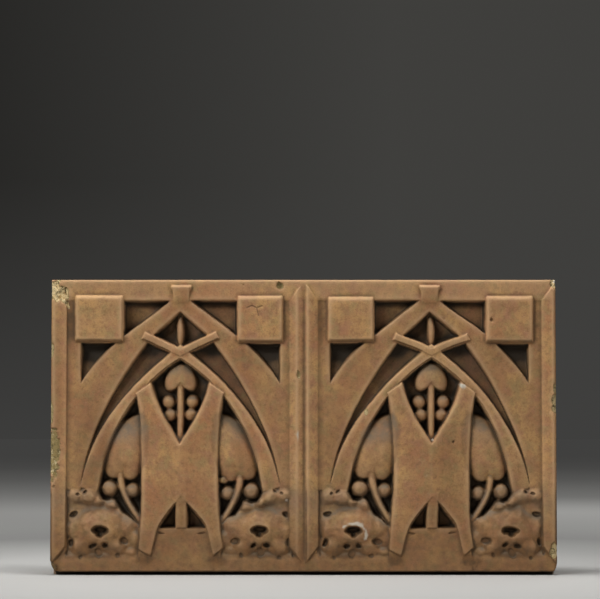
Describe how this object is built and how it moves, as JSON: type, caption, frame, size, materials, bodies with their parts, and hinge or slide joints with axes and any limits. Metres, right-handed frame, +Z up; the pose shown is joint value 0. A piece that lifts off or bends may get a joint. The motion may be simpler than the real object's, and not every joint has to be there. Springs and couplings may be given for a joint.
{
  "type": "architectural terracotta block",
  "caption": "Moulded terracotta wall block with pointed-arch tracery panels of leaves, berries and folded shields in ridged frames, open and hollow at the back, for facing a wall or frieze.",
  "frame": {"origin": "centre of the block's footprint, on the bed that it stands on", "axes": "+X across the face to the viewer's right, +Y from the carved face to the open back, +Z up"},
  "size_m": [0.61, 0.102, 0.356],
  "materials": {
    "terracotta": "matte fired clay, tan to reddish brown, with soot and dirt in the hollows and buff chips at the arrises"
  },
  "bodies": {
    "root": {"terracotta_block": "terracotta"}
  },
  "joints": []
}
